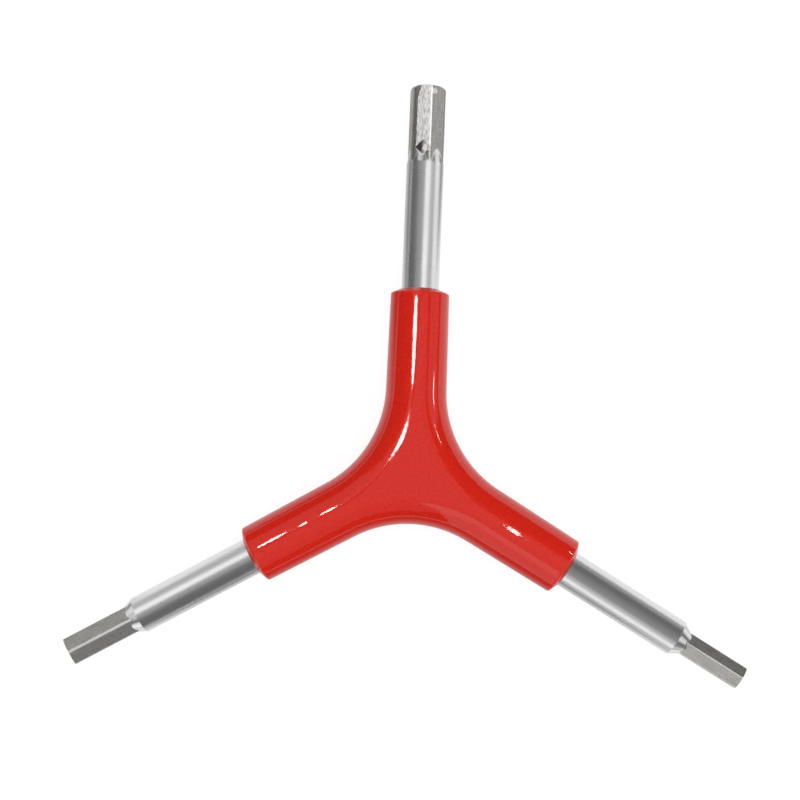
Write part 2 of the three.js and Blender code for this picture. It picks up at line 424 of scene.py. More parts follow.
def half_pipes(bend_radius, stations):
    """Half pipes at both sides of one arm. Stations run out along the arm from the start of the bend, and
    each is a distance from the hub with the pipe's radius there."""
    bm = bmesh.new()
    start, radius = stations[0]
    top = bmesh.ops.create_vert(bm, co=(0, start, radius))["vert"]
    bmesh.ops.spin(bm, geom=top, cent=(0, start, 0), axis=(0, 1, 0), angle=math.pi,
                   steps=SKIN_HALF_SIDES, use_merge=False)
    half_circle = bm.edges[:]
    ring_edges = half_circle
    for (along, radius), (next_along, next_radius) in zip(stations, stations[1:]):
        ring = verts_in(bmesh.ops.extrude_edge_only(bm, edges=ring_edges)["geom"])
        ring_edges = [edge for edge in bm.edges if all(vert in ring for vert in edge.verts)]
        growth = next_radius / radius
        bmesh.ops.scale(bm, verts=ring, vec=(growth, 1, growth))
        bmesh.ops.translate(bm, verts=ring, vec=(0, next_along - along, 0))
    bmesh.ops.spin(bm, geom=half_circle, cent=(bend_radius, start, 0), axis=(0, 0, 1),
                   angle=HALF_BEND, steps=CROTCH_STEPS, use_merge=False)
    bmesh.ops.mirror(bm, geom=all_of(bm), merge_dist=MERGE_DISTANCE, axis="X")
    return bm


print("half a pipe has", SKIN_HALF_SIDES, "sides")


# %% Join them into a skin round three crotches
def pipe_skin(bend_radius, stations):
    """The half pipes of all arms, with the hub's flats filled in on top and underneath."""
    bm = half_pipes(bend_radius, stations)
    one_arm = all_of(bm)
    for arm in range(1, ARM_COUNT):
        verts = verts_in(bmesh.ops.duplicate(bm, geom=one_arm)["geom"])
        bmesh.ops.rotate(bm, verts=verts, cent=(0, 0, 0), matrix=turned_about_z(arm * ARM_TURN))
    bmesh.ops.remove_doubles(bm, verts=bm.verts[:], dist=MERGE_DISTANCE)
    hub_edges = []
    for edge in bm.edges:
        first, second = [vert.co.z for vert in edge.verts]
        level = abs(first - second) < MERGE_DISTANCE
        if edge.is_boundary and level and abs(abs(first) - stations[0][1]) < MERGE_DISTANCE:
            hub_edges.append(edge)
    bmesh.ops.holes_fill(bm, edges=hub_edges, sides=0)
    return bm


print("a skin reaches round", ARM_COUNT, "crotches")

# %% [markdown]
# The moulding is a thick skin on the steel. Its outside and its inside are both made of half pipes, and
# the open ends are bridged with a ring that slopes out to the steel, as the photograph shows. The outside
# rounds off at the rim of each end, as a mould's edge does, and grows a little towards the hub, because a
# mould needs draft. The inside grips the shanks, and swells in the hub to make room for the weld beads.

# %% The outside of the handle
HANDLE_WALL = 1.95 * MM
CROTCH_RADIUS = 20.6 * MM
RIM_RADIUS = 0.4 * MM
MOUTH_OVERHANG = 0.4 * MM
MOUTH_CHAMFER = 0.12 * MM
END_SLOPE = math.radians(24)
GRIP_GAP = 0.04 * MM
ARM_STEPS = 14
RIM_STEPS = 6
END_RADIUS = SHANK_RADIUS + HANDLE_WALL
MOUTH_RADIUS = SHANK_RADIUS + GRIP_GAP + MOUTH_CHAMFER
MOUTH_REACH = HANDLE_REACH + MOUTH_OVERHANG
RIM_TURN = math.pi / 2 - END_SLOPE
RIM_DROP = RIM_RADIUS * (1 - math.cos(RIM_TURN))
RIM_END = MOUTH_REACH - (END_RADIUS - RIM_DROP - MOUTH_RADIUS) * math.tan(END_SLOPE)
RIM_START = RIM_END - RIM_RADIUS * math.sin(RIM_TURN)


def bend_start_of(bend_radius):
    return bend_radius / math.tan(ARM_TURN / 2)


def outside_stations():
    start = bend_start_of(CROTCH_RADIUS + HUB_RADIUS)
    stations = []
    for step in range(ARM_STEPS + 1):
        share = step / ARM_STEPS
        along = start + (RIM_START - start) * share
        stations.append((along, HUB_RADIUS + (END_RADIUS - HUB_RADIUS) * share))
    for step in range(1, RIM_STEPS + 1):
        turn = step / RIM_STEPS * RIM_TURN
        along = RIM_START + RIM_RADIUS * math.sin(turn)
        stations.append((along, END_RADIUS - RIM_RADIUS * (1 - math.cos(turn))))
    return stations


print("the rim starts", RIM_START, "m from the hub")

# %% The inside of the handle
WELD_ROOM = 0.9 * MM
WELD_ROOM_LENGTH = 3 * MM
INNER_CROTCH_RADIUS = 9 * MM


def inside_stations():
    bore = SHANK_RADIUS + GRIP_GAP
    room = SHANK_RADIUS + WELD_ROOM
    start = bend_start_of(INNER_CROTCH_RADIUS + room)
    return [
        (start, room),
        (start + WELD_ROOM_LENGTH, bore),
        (MOUTH_REACH - MOUTH_CHAMFER, bore),
        (MOUTH_REACH, MOUTH_RADIUS),
    ]


print("the bore is", SHANK_RADIUS + GRIP_GAP, "m in radius")

# %% Mould the handle
RIM_WEAR = 0.35


def take_in(bm, other):
    """Adds another bmesh's geometry to the first one."""
    mesh = bpy.data.meshes.new("taken in")
    other.to_mesh(mesh)
    other.free()
    bm.from_mesh(mesh)
    bpy.data.meshes.remove(mesh)


def arm_direction(arm):
    return turned_about_z(arm * ARM_TURN) @ Vector((0, 1, 0))


bm = pipe_skin(CROTCH_RADIUS + HUB_RADIUS, outside_stations())
take_in(bm, pipe_skin(INNER_CROTCH_RADIUS + SHANK_RADIUS + WELD_ROOM, inside_stations()))
open_edges = [edge for edge in bm.edges if edge.is_boundary]
for arm in range(ARM_COUNT):
    ends = [edge for edge in open_edges if edge.verts[0].co.dot(arm_direction(arm)) > RIM_START]
    bmesh.ops.bridge_loops(bm, edges=ends)
rim_layer = bm.verts.layers.float.new("rim")
for vert in bm.verts:
    along = max(vert.co.dot(arm_direction(arm)) for arm in range(ARM_COUNT))
    off_rim = abs(along - RIM_END) / RIM_RADIUS
    vert[rim_layer] = RIM_WEAR * max(1 - off_rim, 0)
lifted_to_axis(bm)
handle = make_piece("moulded_handle", bm, "handle", red_pvc)

# %% [markdown]
# Each arm is one bar of ground steel whose end was pressed into a hex. One way to make it is a cylinder
# with a hexagonal prism joined on, but where the two meet a Boolean leaves a poor net for the cone between
# them. Here one ring is drawn out station by station, and then every vertex is moved to the bar's true
# reach in its direction: the round bar, a cone that starts with a small step and falls to the flats, or the
# hex with rounded corners, whichever of the last two is further out, and no further than the rounded crown
# or the chamfer at the end lets it.

# %% The sizes of the three shafts
STEP_DROP = 0.08 * MM
CHAMFER_STEEPNESS = 3.5
CROWN_SHORTFALL = 0.5 * MM
CROWN_END = ARM_LENGTH - CROWN_SHORTFALL
CROWN_RADIUS = 1.5 * MM
CROWN_FLAT_RADIUS = 2.0 * MM

# For each shaft: size across flats, corner radius, where the round shank ends, the length of the cone, the
# turn of the first flat from facing up, in degrees to the clockwise side, how deep the end's chamfer is on
# top, or none for a rounded crown, how pale the painted highlight on the worn upper ridges is, how dark the
# painted shade in the folds of the shoulder is, and the painted light of each flat, from dark at 0 to light
# at 1.
SHAFTS = {
    "large_hex": {
        "across_flats": 6 * MM, "corner_radius": 0.24 * MM, "shank_end": 55.6 * MM, "cone": 2.2 * MM,
        "turn": -18, "chamfer": None, "ridge_highlight": 1.0, "fold_shade": 0.5,
        "flat_light_paints": (0.12, 0.33, 0.5, 0.45, 0.4, 0.40),
    },
    "middle_hex": {
        "across_flats": 5 * MM, "corner_radius": 0.5 * MM, "shank_end": 55.8 * MM, "cone": 1.75 * MM,
        "turn": 30, "chamfer": 1.1 * MM, "ridge_highlight": 0.0, "fold_shade": 0.25,
        "flat_light_paints": (0.38, 0.45, 0.5, 0.45, 0.5, 0.44),
    },
    "small_hex": {
        "across_flats": 4 * MM, "corner_radius": 0.2 * MM, "shank_end": 56.2 * MM, "cone": 2.17 * MM,
        "turn": 22.6, "chamfer": 0.5 * MM, "ridge_highlight": 0.4, "fold_shade": 0.45,
        "flat_light_paints": (0.58, 0.5, 0.45, 0.5, 0.45, 0.20),
    },
}
print(len(SHAFTS), "shafts planned")

# %% The hex of a tip
FLAT_COUNT = 6
FLAT_TURN = math.tau / FLAT_COUNT


def from_flat(angle, turn):
    """The angle from the middle of the nearest flat."""
    return (angle - turn + FLAT_TURN / 2) % FLAT_TURN - FLAT_TURN / 2


def hex_reach(aside, flat_radius, corner_radius):
    """How far out a hex with rounded corners is, that far aside of the middle of a flat."""
    inner = flat_radius - corner_radius
    centre = Vector((inner * math.tan(FLAT_TURN / 2), inner))
    if flat_radius * math.tan(abs(aside)) <= centre.x:
        return flat_radius / math.cos(aside)
    toward = Vector((math.sin(abs(aside)), math.cos(aside)))
    foot = toward.dot(centre)
    return foot + math.sqrt(foot ** 2 - centre.length_squared + corner_radius ** 2)


print("a tip has", FLAT_COUNT, "flats")

# %% The cone and the end of a tip
FILLET = 0.05 * MM


def smooth_max(first, second):
    overlap = max(FILLET - abs(first - second), 0)
    return max(first, second) + overlap ** 2 / (4 * FILLET)


def cone_reach(past_shank, flat_radius, cone_length):
    """The cone falls from the step at the shank's end to the flats, and goes on falling inside them."""
    start = SHANK_RADIUS - STEP_DROP
    return start + (flat_radius - start) * past_shank / cone_length


def end_reach(along, angle, flat_radius, chamfer):
    """What the end leaves: a rounded crown, or a steep chamfer that is worn deepest on top."""
    if chamfer is not None:
        return flat_radius - chamfer * math.cos(angle) ** 2 + CHAMFER_STEEPNESS * (ARM_LENGTH - along)
    drop = max(CROWN_END - along, 0)
    if drop >= CROWN_RADIUS:
        return SHANK_RADIUS
    return CROWN_FLAT_RADIUS + math.sqrt(CROWN_RADIUS ** 2 - (CROWN_RADIUS - drop) ** 2)


print("cone and flats meet in a fillet of", FILLET, "m")

# %% [markdown]
# A bar is drawn from a circle, ring by ring. The rings lie close together where the shape changes, in the
# shoulder and at the end, and the vertices of a ring crowd towards the six corners, so that a corner keeps
# its roundness without a fine net everywhere. The inner end is cut to the two planes in which the
# neighbouring arms meet it.

# %% Space the rings of a bar
EDGE_BAND = 0.06 * MM
STEP_RUN = 0.02 * MM
SHOULDER_SPAN = 3.6 * MM
CROWN_SPAN = 1.6 * MM
SHANK_RINGS = 10
SHOULDER_RINGS = 40
TIP_RINGS = 48
END_RINGS = 32


def shaft_stations(shank_end, tip_end):
    """Rings along the bar, close together in the shoulder and at the end of the tip."""
    spans = [
        (shank_end - EDGE_BAND, SHANK_RINGS),
        (shank_end, 1),
        (shank_end + STEP_RUN, 1),
        (shank_end + SHOULDER_SPAN, SHOULDER_RINGS),
        (tip_end - CROWN_SPAN, TIP_RINGS),
        (tip_end, END_RINGS),
    ]
    stations = [0.0]
    for end, steps in spans:
        start = stations[-1]
        stations += [start + (end - start) * step / steps for step in range(1, steps + 1)]
    return stations


print(len(shaft_stations(0, ARM_LENGTH)), "rings in a bar")

# %% Draw out a bar
SIDES_ROUND = 192
CORNER_CROWDING = 0.6


def edges_in(items):
    return [item for item in items if isinstance(item, bmesh.types.BMEdge)]


def drawn_bar(turn, shank_end, tip_end):
    """A round bar along +Y with a ring of vertices at every station, crowded towards the hex's corners."""
    bm = bmesh.new()
    bmesh.ops.create_circle(bm, cap_ends=False, radius=SHANK_RADIUS, segments=SIDES_ROUND)
    for vert in bm.verts:
        angle = math.atan2(vert.co.y, vert.co.x) + turn
        angle += CORNER_CROWDING * math.sin(FLAT_COUNT * (angle - turn)) / FLAT_COUNT
        vert.co = (SHANK_RADIUS * math.sin(angle), 0, SHANK_RADIUS * math.cos(angle))
    ring_edges = bm.edges[:]
    first_ring = bm.edges[:]
    stations = shaft_stations(shank_end, tip_end)
    for along, next_along in zip(stations, stations[1:]):
        made = bmesh.ops.extrude_edge_only(bm, edges=ring_edges)["geom"]
        ring = set(verts_in(made))
        ring_edges = [edge for edge in edges_in(made) if set(edge.verts) <= ring]
        bmesh.ops.translate(bm, verts=list(ring), vec=(0, next_along - along, 0))
    bmesh.ops.holes_fill(bm, edges=first_ring, sides=0)
    bmesh.ops.holes_fill(bm, edges=ring_edges, sides=0)
    return bm


print("a ring has", SIDES_ROUND, "sides")

# %% Cut the inner end
MITRE_GAP = 0.3 * MM


def mitre(bm):
    """Cuts the inner end to the two planes in which its neighbours meet it."""
    for side in (1, -1):
        outward = turned_about_z(-side * ARM_TURN / 2) @ Vector((side, 0, 0))
        cut = bmesh.ops.bisect_plane(bm, geom=all_of(bm), dist=MERGE_DISTANCE,
                                     plane_co=outward * -MITRE_GAP / 2, plane_no=outward, clear_outer=True)
        bmesh.ops.holes_fill(bm, edges=edges_in(cut["geom_cut"]), sides=0)


print("mitres are", MITRE_GAP, "m apart")

# %% [markdown]
# On the real tool the press, the plating and use mark a tip all over, and each flat takes the light in its
# own way, so its look changes from one flat to the next. Each could be a picture laid on the flat, but a
# picture would have to be drawn and unwrapped. Here every vertex is moved to the bar's surface and is told
# at once what it lies on: a flat with its painted light, a worn corner with a painted highlight, or a fold
# with painted shade. The finish reads those values.

# %% The paints of a tip
PAINTS = ("flat", "wear_and_highlight", "ridge_highlight", "flat_light_paint", "painted_shade", "scuff")
HALF_PAINT = 0.5


def paints_of(bm):
    return {name: bm.verts.layers.float[name] for name in PAINTS}


def clamped(value):
    return min(max(value, 0), 1)


print("each vertex carries", len(PAINTS), "paints")

# %% Shape and paint a tip
# how far up a ridge faces before its painted highlight starts, and over what span it comes in
UPPER_RIDGE_FROM = 0.6
UPPER_RIDGE_SPAN = 0.3
PALE_FROM = 2.4 * MM
PALE_FEATHER = 0.8 * MM
FOLD_SHADE_FEATHER = 0.1 * MM
# one at each side of every flat
FOLD_COUNT = 2 * FLAT_COUNT
# far enough below nought that no noise can lift it over the scuff's edge
NO_SCUFF = -1.0


def shape_tip(bm, across_flats, corner_radius, shank_end, cone, turn, chamfer, ridge_highlight, fold_shade, flat_light_paints):
    """Moves every vertex to the bar's reach in its direction, and paints what its surface is there: painted
    light on each flat, a painted highlight on the upper ridges and painted shade in the folds.
    """
    for name in PAINTS:
        bm.verts.layers.float.new(name)
    in_bar = bm.verts.layers.float_vector.new("in_bar")
    paint = paints_of(bm)
    flat_radius = across_flats / 2
    corner_start = (flat_radius - corner_radius) * math.tan(FLAT_TURN / 2)
    for vert in bm.verts:
        along = vert.co.y
        vert[in_bar] = vert.co
        vert[paint["scuff"]] = NO_SCUFF
        # a painted highlight on the ridges of the tip, fading in past the shoulder
        vert[paint["ridge_highlight"]] = ridge_highlight * clamped((along - shank_end - PALE_FROM) / PALE_FEATHER)
        if along <= shank_end:
            continue
        angle = math.atan2(vert.co.x, vert.co.z)
        aside = from_flat(angle, turn)
        hex_here = min(hex_reach(aside, flat_radius, corner_radius), SHANK_RADIUS - STEP_DROP)
        cone_here = cone_reach(along - shank_end, flat_radius, cone)
        reach = min(smooth_max(hex_here, cone_here), end_reach(along, angle, flat_radius, chamfer))
        vert.co = (reach * math.sin(angle), along, reach * math.cos(angle))
        vert[in_bar] = vert.co
        vert[paint["flat"]] = clamped((hex_here - cone_here) / FILLET)
        past_corner = flat_radius * math.tan(abs(aside)) - corner_start
        # only the upper ridges get the painted highlight, where the light from above falls on them
        upward = clamped((abs(math.cos(angle)) - UPPER_RIDGE_FROM) / UPPER_RIDGE_SPAN)
        vert[paint["wear_and_highlight"]] = clamped(HALF_PAINT + past_corner / corner_radius) * upward
        # painted light: each flat's grey is set lighter or darker for the light that falls on it
        vert[paint["flat_light_paint"]] = flat_light_paints[round((angle - turn) / FLAT_TURN) % FLAT_COUNT]
        # painted shade in the shoulder, in twelve dark lines between the middle of each flat and its corners
        on_cone = clamped((cone_here - hex_here) / FOLD_SHADE_FEATHER)
        vert[paint["painted_shade"]] = fold_shade * on_cone * clamped(-math.cos(FOLD_COUNT * aside)) ** 2


# the painted shade lies in these folds
print("dirt lies in", FOLD_COUNT, "folds of a shoulder")

# %% [markdown]
# The large hex has had a hard life: one flat is chipped bare in a long patch, and at its foot something
# has punched a dent. The patch is only painted, with an edge that noise makes ragged and chips that a bump
# gives it. The dent is pressed into the flat as a shallow pyramid upside down. One side of it is darkened
# with painted shade, the other is bare metal, painted paler as its lit side and with painted shade towards
# the tip, and a painted highlight runs down it as a streak.

# %% The chipped patch on the large hex
# from side to side across the arm, and along it
SCUFF_SIDES = (-1.80 * MM, 0.80 * MM)
SCUFF_ENDS = (57.5 * MM, 71.0 * MM)
SCUFF_LEAN_FROM = 67.0 * MM
SCUFF_LEAN = 0.25
SCUFF_FEATHER = 0.4 * MM
# across, along and radius of a chip beside the ridge
CHIP_PLACE = (1.12 * MM, 68.2 * MM)
CHIP_RADIUS = 0.5 * MM


def scuff_value(across, along):
    """Over a half inside the patch, and falling over the feather's length at its edge."""
    left = SCUFF_SIDES[0] + SCUFF_LEAN * max(along - SCUFF_LEAN_FROM, 0)
    inside = min(across - left, SCUFF_SIDES[1] - across, along - SCUFF_ENDS[0], SCUFF_ENDS[1] - along)
    in_chip = CHIP_RADIUS - math.dist((across, along), CHIP_PLACE)
    return max(HALF_PAINT + max(inside, in_chip) / SCUFF_FEATHER, NO_SCUFF)


print("the patch is", SCUFF_ENDS[1] - SCUFF_ENDS[0], "m long")

# %% The dent at its foot
DENT_PLACE = (-0.60 * MM, 58.1 * MM)
DENT_HALF_SIZE = (1.3 * MM, 1.45 * MM)
DENT_DEPTH = 0.55 * MM
# how dark the painted shade in the dent is
DENT_SHADE = 0.95
SHADED_TOP_SHARE = 0.5
# where the bare side of the dent, painted paler as its lit side, starts, and how quickly it does
BARE_LIT_SIDE_FROM = -0.30
DENT_PAINT_RISE = 1.8
# a painted highlight as a streak across the dent, between these two places in half sizes of the dent
HIGHLIGHT_STREAK = (Vector((0.36, 0.10)), Vector((0.0, -0.75)))
HIGHLIGHT_HALF_WIDTH = 0.17
HIGHLIGHT_FEATHER = 0.25


def from_streak(place):
    start, end = HIGHLIGHT_STREAK
    share = clamped((place - start).dot(end - start) / (end - start).length_squared)
    return (place - start - share * (end - start)).length


def scuff_and_dent(bm):
    paint = paints_of(bm)
    for vert in bm.verts:
        if vert.co.z <= 0:
            continue
        vert[paint["scuff"]] = scuff_value(vert.co.x, vert.co.y)
        aside = (vert.co.x - DENT_PLACE[0]) / DENT_HALF_SIZE[0]
        along = (vert.co.y - DENT_PLACE[1]) / DENT_HALF_SIZE[1]
        depth_share = clamped(1 - abs(aside) - abs(along))
        if depth_share > 0:
            # the bare side is painted paler as the dent's lit side; the other side gets painted shade
            bare = clamped(DENT_PAINT_RISE * (aside - BARE_LIT_SIDE_FROM))
            off_streak = from_streak(Vector((aside, along))) - HIGHLIGHT_HALF_WIDTH
            highlight = clamped(1 - off_streak / HIGHLIGHT_FEATHER)
            # painted shade on the lit side, growing towards the tip
            shaded_top = clamped(HALF_PAINT + DENT_PAINT_RISE * along) * SHADED_TOP_SHARE
            vert[paint["scuff"]] = 2 * bare - HALF_PAINT
            vert[paint["wear_and_highlight"]] = highlight
            vert[paint["ridge_highlight"]] = 1
            vert[paint["painted_shade"]] = DENT_SHADE * (1 - highlight) * max(1 - bare, shaded_top)
        vert.co.z -= DENT_DEPTH * depth_share


print("the dent is", DENT_DEPTH, "m deep")

# %% [markdown]
# The shafts of a three-way key are the same bar three times, pressed to three sizes. They could be one
# mesh that is copied and scaled, but then the round shanks would scale as well. So every shaft is drawn,
# shaped and mitred by the same few steps with its own sizes, and then turned to its place in the handle.
# The face at the end of a tip is cut clean, so it gets an even shade of its own.

# %% Make the three shafts
END_BAND = 0.05 * MM
END_SHADE = 0.45


def plain_end(bm):
    """Sets the end face off with a narrow band, so that the paint of the sides doesn't spread over it."""
    end = max(bm.faces, key=lambda face: face.calc_center_median().y)
    bmesh.ops.inset_individual(bm, faces=[end], thickness=END_BAND)
    paint = paints_of(bm)
    for vert in end.verts:
        vert[paint["wear_and_highlight"]] = 0
        vert[paint["flat_light_paint"]] = END_SHADE
        vert[paint["scuff"]] = NO_SCUFF


for arm, (name, shape) in enumerate(SHAFTS.items()):
    shape["turn"] = math.radians(shape["turn"])
    tip_end = CROWN_END if shape["chamfer"] is None else ARM_LENGTH
    bm = drawn_bar(shape["turn"], shape["shank_end"], tip_end)
    shape_tip(bm, **shape)
    if name == "large_hex":
        scuff_and_dent(bm)
    plain_end(bm)
    mitre(bm)
    bmesh.ops.rotate(bm, verts=bm.verts[:], cent=(0, 0, 0), matrix=turned_about_z(arm * ARM_TURN))
    lifted_to_axis(bm)
    make_piece(name + "_bar", bm, name + "_shaft", plated_steel)

# %% [markdown]
# The floor is a plain white sheet. The camera and the shiny steel see it as white, because it glows for
# them, and what glow leaves open is diffuse white, so that the wrench's soft shadow still falls on it. The
# steel sees less glow and more shadow, which keeps a thin grey line along its silhouettes, and four grey
# patches on the sheet, where the photograph has wide dark bands on the arms or a dark side on a shoulder.
# For all the other light it is ordinary white paper.

# %% A grey patch on the sheet
# the share of a patch's half size in which it has its full strength
PATCH_CORE_SHARE = 0.5


def grey_patch(tree, place, centre_x, centre_y, half_width, half_length, strength):
    """The full strength in the core of an oval patch, fading to nought at its edge."""
    fitted = tree.nodes.new("ShaderNodeMapping")
    fitted.inputs["Location"].default_value = (-centre_x / half_width, -centre_y / half_length, 0)
    fitted.inputs["Scale"].default_value = (1 / half_width, 1 / half_length, 1)
    tree.links.new(place, fitted.inputs["Vector"])
    distance = tree.nodes.new("ShaderNodeVectorMath")
    distance.operation = "LENGTH"
    tree.links.new(fitted.outputs["Vector"], distance.inputs[0])
    fade = tree.nodes.new("ShaderNodeMapRange")
    fade.inputs["From Min"].default_value = 1
    fade.inputs["From Max"].default_value = PATCH_CORE_SHARE
    fade.inputs["To Max"].default_value = strength
    tree.links.new(distance.outputs["Value"], fade.inputs["Value"])
    return fade.outputs["Result"]


print("a patch is even in", PATCH_CORE_SHARE, "of its size")


# %% Plain and glowing paper
def diffuse(tree, grey):
    paper = tree.nodes.new("ShaderNodeBsdfDiffuse")
    paper.inputs["Color"].default_value = (grey, grey, grey, 1)
    return paper.outputs[0]


def glowing_white(tree, glow_strength, shadow_share):
    glow = tree.nodes.new("ShaderNodeEmission")
    glow.inputs["Strength"].default_value = glow_strength
    both = tree.nodes.new("ShaderNodeAddShader")
    tree.links.new(glow.outputs[0], both.inputs[0])
    tree.links.new(diffuse(tree, shadow_share), both.inputs[1])
    return both.outputs[0]


def chosen_shader(tree, share, first, second):
    mix = tree.nodes.new("ShaderNodeMixShader")
    tree.links.new(share, mix.inputs[0])
    tree.links.new(first, mix.inputs[1])
    tree.links.new(second, mix.inputs[2])
    return mix.outputs[0]


print("paper can be plain or glow")

# %% The floor's paper
CAMERA_GLOW = 0.87
CAMERA_SHADOW_SHARE = 0.18
GLOSS_GLOW = 0.20
GLOSS_SHADOW_SHARE = 0.80
PAPER_WHITE = 0.8
FAR_GREY = 0.19
# across, along, the half sizes and the strength of the grey patches
GREY_PATCHES = (
    (-45 * MM, 52 * MM, 45 * MM, 45 * MM, 1),
    (0, -63 * MM, 55 * MM, 55 * MM, 1),
    (20 * MM, 62 * MM, 16 * MM, 30 * MM, 0.8),
    (-73 * MM, -21 * MM, 18 * MM, 18 * MM, 1),
)

floor_paper, tree, shader = new_finish("floor paper")
tree.nodes.remove(shader)
rays = tree.nodes.new("ShaderNodeLightPath")
place = tree.nodes.new("ShaderNodeTexCoord")
greyed = None
for sizes in GREY_PATCHES:
    patch = grey_patch(tree, place.outputs["Object"], *sizes)
    greyed = patch if greyed is None else added_value(tree, greyed, patch)
white_in_gloss = glowing_white(tree, GLOSS_GLOW, GLOSS_SHADOW_SHARE)
in_gloss = chosen_shader(tree, greyed, white_in_gloss, diffuse(tree, FAR_GREY))
for_camera = glowing_white(tree, CAMERA_GLOW, CAMERA_SHADOW_SHARE)
surface = chosen_shader(tree, rays.outputs["Is Glossy Ray"], diffuse(tree, PAPER_WHITE), in_gloss)
surface = chosen_shader(tree, rays.outputs["Is Camera Ray"], surface, for_camera)
tree.links.new(surface, tree.nodes["Material Output"].inputs["Surface"])
print("the paper has", len(GREY_PATCHES), "grey patches")

# %% Lay the floor
FLOOR_HALF_SIZE = 3.0

bm = bmesh.new()
bmesh.ops.create_grid(bm, x_segments=1, y_segments=1, size=FLOOR_HALF_SIZE)
floor_mesh = bpy.data.meshes.new("floor")
bm.to_mesh(floor_mesh)
bm.free()
floor_mesh.materials.append(floor_paper)
floor = bpy.data.objects.new("floor", floor_mesh)
bpy.context.scene.collection.objects.link(floor)
print("floor is", 2 * FLOOR_HALF_SIZE, "m wide")

# %% [markdown]
# Shiny steel shows the room. A real room could be modelled, but this steel is too soft a mirror to show
# more than where it is light. So for gloss the world is a vertical ramp, dim grey and lighter overhead. For
# plain light it is a soft even glow, which fills in the sides of the handle, and the camera itself sees
# plain white past the floor.

# %% The room
# how far up a direction points, level at 0 and straight up at 1, and the grey that gloss sees there
ROOM_RAMP = ((0.0, 0.14), (0.5, 0.14), (0.766, 0.16), (0.906, 0.20), (1.0, 0.29))
ROOM_GLOW = (0.5, 0.5, 0.5)
WHITE = (1, 1, 1)

world = bpy.data.worlds.new("room")
bpy.context.scene.world = world
world.use_nodes = True
tree = world.node_tree
background = tree.nodes["Background"]
place = tree.nodes.new("ShaderNodeTexCoord")
parts = tree.nodes.new("ShaderNodeSeparateXYZ")
ramp = tree.nodes.new("ShaderNodeValToRGB")
elements = ramp.color_ramp.elements
for position, value in ROOM_RAMP[1:-1]:
    elements.new(position)
for element, (position, value) in zip(elements, ROOM_RAMP):
    element.position = position
    element.color = (value, value, value, 1)
tree.links.new(place.outputs["Generated"], parts.inputs[0])
tree.links.new(parts.outputs["Z"], ramp.inputs[0])
rays = tree.nodes.new("ShaderNodeLightPath")
room = mixed_colour(tree, rays.outputs["Is Glossy Ray"], ROOM_GLOW, ramp.outputs["Color"])
seen = mixed_colour(tree, rays.outputs["Is Camera Ray"], room, WHITE)
tree.links.new(seen, background.inputs["Color"])
print("room ramp has", len(elements), "stops")

# %% [markdown]
# One broad lamp overhead, a little to the east, gives the plain soft light that colours are seen in. It
# isn't seen in the gloss, because it would lie over the red as a milky veil. A lamp's power is worked out
# from the brightness that its face should have: the power is pi times the area times the brightness.

# %% The overhead light
OVERHEAD_PLACE = Vector((0.12, -0.04, 0.8))
OVERHEAD_SIZE = 1.0
OVERHEAD_BRIGHTNESS = 1.75
UNDER_HUB = Vector((0, 0, 0))
# of the rectangle round it
ELLIPSE_SHARE = math.pi / 4


def lamp(name, location, target, width, length, brightness, along=(0, 1, 0), oval=False):
    """A lamp that faces a target, with its length turned towards the given direction."""
    data = bpy.data.lights.new(name, "AREA")
    data.shape = "ELLIPSE" if oval else "RECTANGLE"
    data.size = width
    data.size_y = length
    area = width * length * (ELLIPSE_SHARE if oval else 1)
    data.energy = math.pi * area * brightness
    light = bpy.data.objects.new(name, data)
    back = (location - target).normalized()
    side = Vector(along).cross(back).normalized()
    up = back.cross(side)
    light.matrix_world = Matrix.Translation(location) @ Matrix((side, up, back)).transposed().to_4x4()
    bpy.context.scene.collection.objects.link(light)
    return light


overhead = lamp("overhead", OVERHEAD_PLACE, UNDER_HUB, OVERHEAD_SIZE, OVERHEAD_SIZE, OVERHEAD_BRIGHTNESS)
overhead.visible_glossy = False
print("overhead light is", OVERHEAD_SIZE, "m wide")

# %% [markdown]
# Every shank shows bright bands along its clockwise side and a dark one on the other, so the panels that
# it mirrors stand round each arm in the same way. They could be real cards, but then each arm would also
# mirror the cards of the other two. Light linking gives every arm its own set: a panel lights only the
# pieces in its receiver collection.

# %% Helpers for the panels
PANEL_DISTANCE = 400 * MM


def lit_only(light, piece):
    group = bpy.data.collections.new(light.name + "_on")
    group.objects.link(piece)
    light.light_linking.receiver_collection = group


def arm_frame(arm):
    """The directions to the clockwise side of an arm, out along it, and up."""
    turn = turned_about_z(arm * ARM_TURN)
    return turn @ Vector((1, 0, 0)), turn @ Vector((0, 1, 0)), Vector((0, 0, 1))


def turned_from(ahead, aside, degrees):
    """The direction that many degrees from ahead towards aside."""
    angle = math.radians(degrees)
    return math.sin(angle) * aside + math.cos(angle) * ahead


def panel_span(degrees):
    """How wide a panel is that fills that angle."""
    return 2 * PANEL_DISTANCE * math.tan(math.radians(degrees) / 2)


print("panels hang", PANEL_DISTANCE, "m away")

# %% Panels round each arm
PANEL_LENGTH = 300 * MM
SHANK_MIDDLE = 45 * MM
OUTWARD_LEAN = 0.165

# tilt from overhead towards the clockwise side, width, both in degrees, and brightness
PANELS = {
    "large_hex": ((-18, 36, 0.15), (20, 32, 1.02), (50, 26, 0.42), (78, 22, 0.95)),
    "middle_hex": ((0, 36, 0.15), (29, 30, 1.10), (60, 30, 0.42), (84, 14, 0.5)),
    "small_hex": ((-74, 20, 0.25), (16, 24, 0.06), (38, 24, 0.45), (63, 26, 1.1), (84, 10, 0.4)),
}

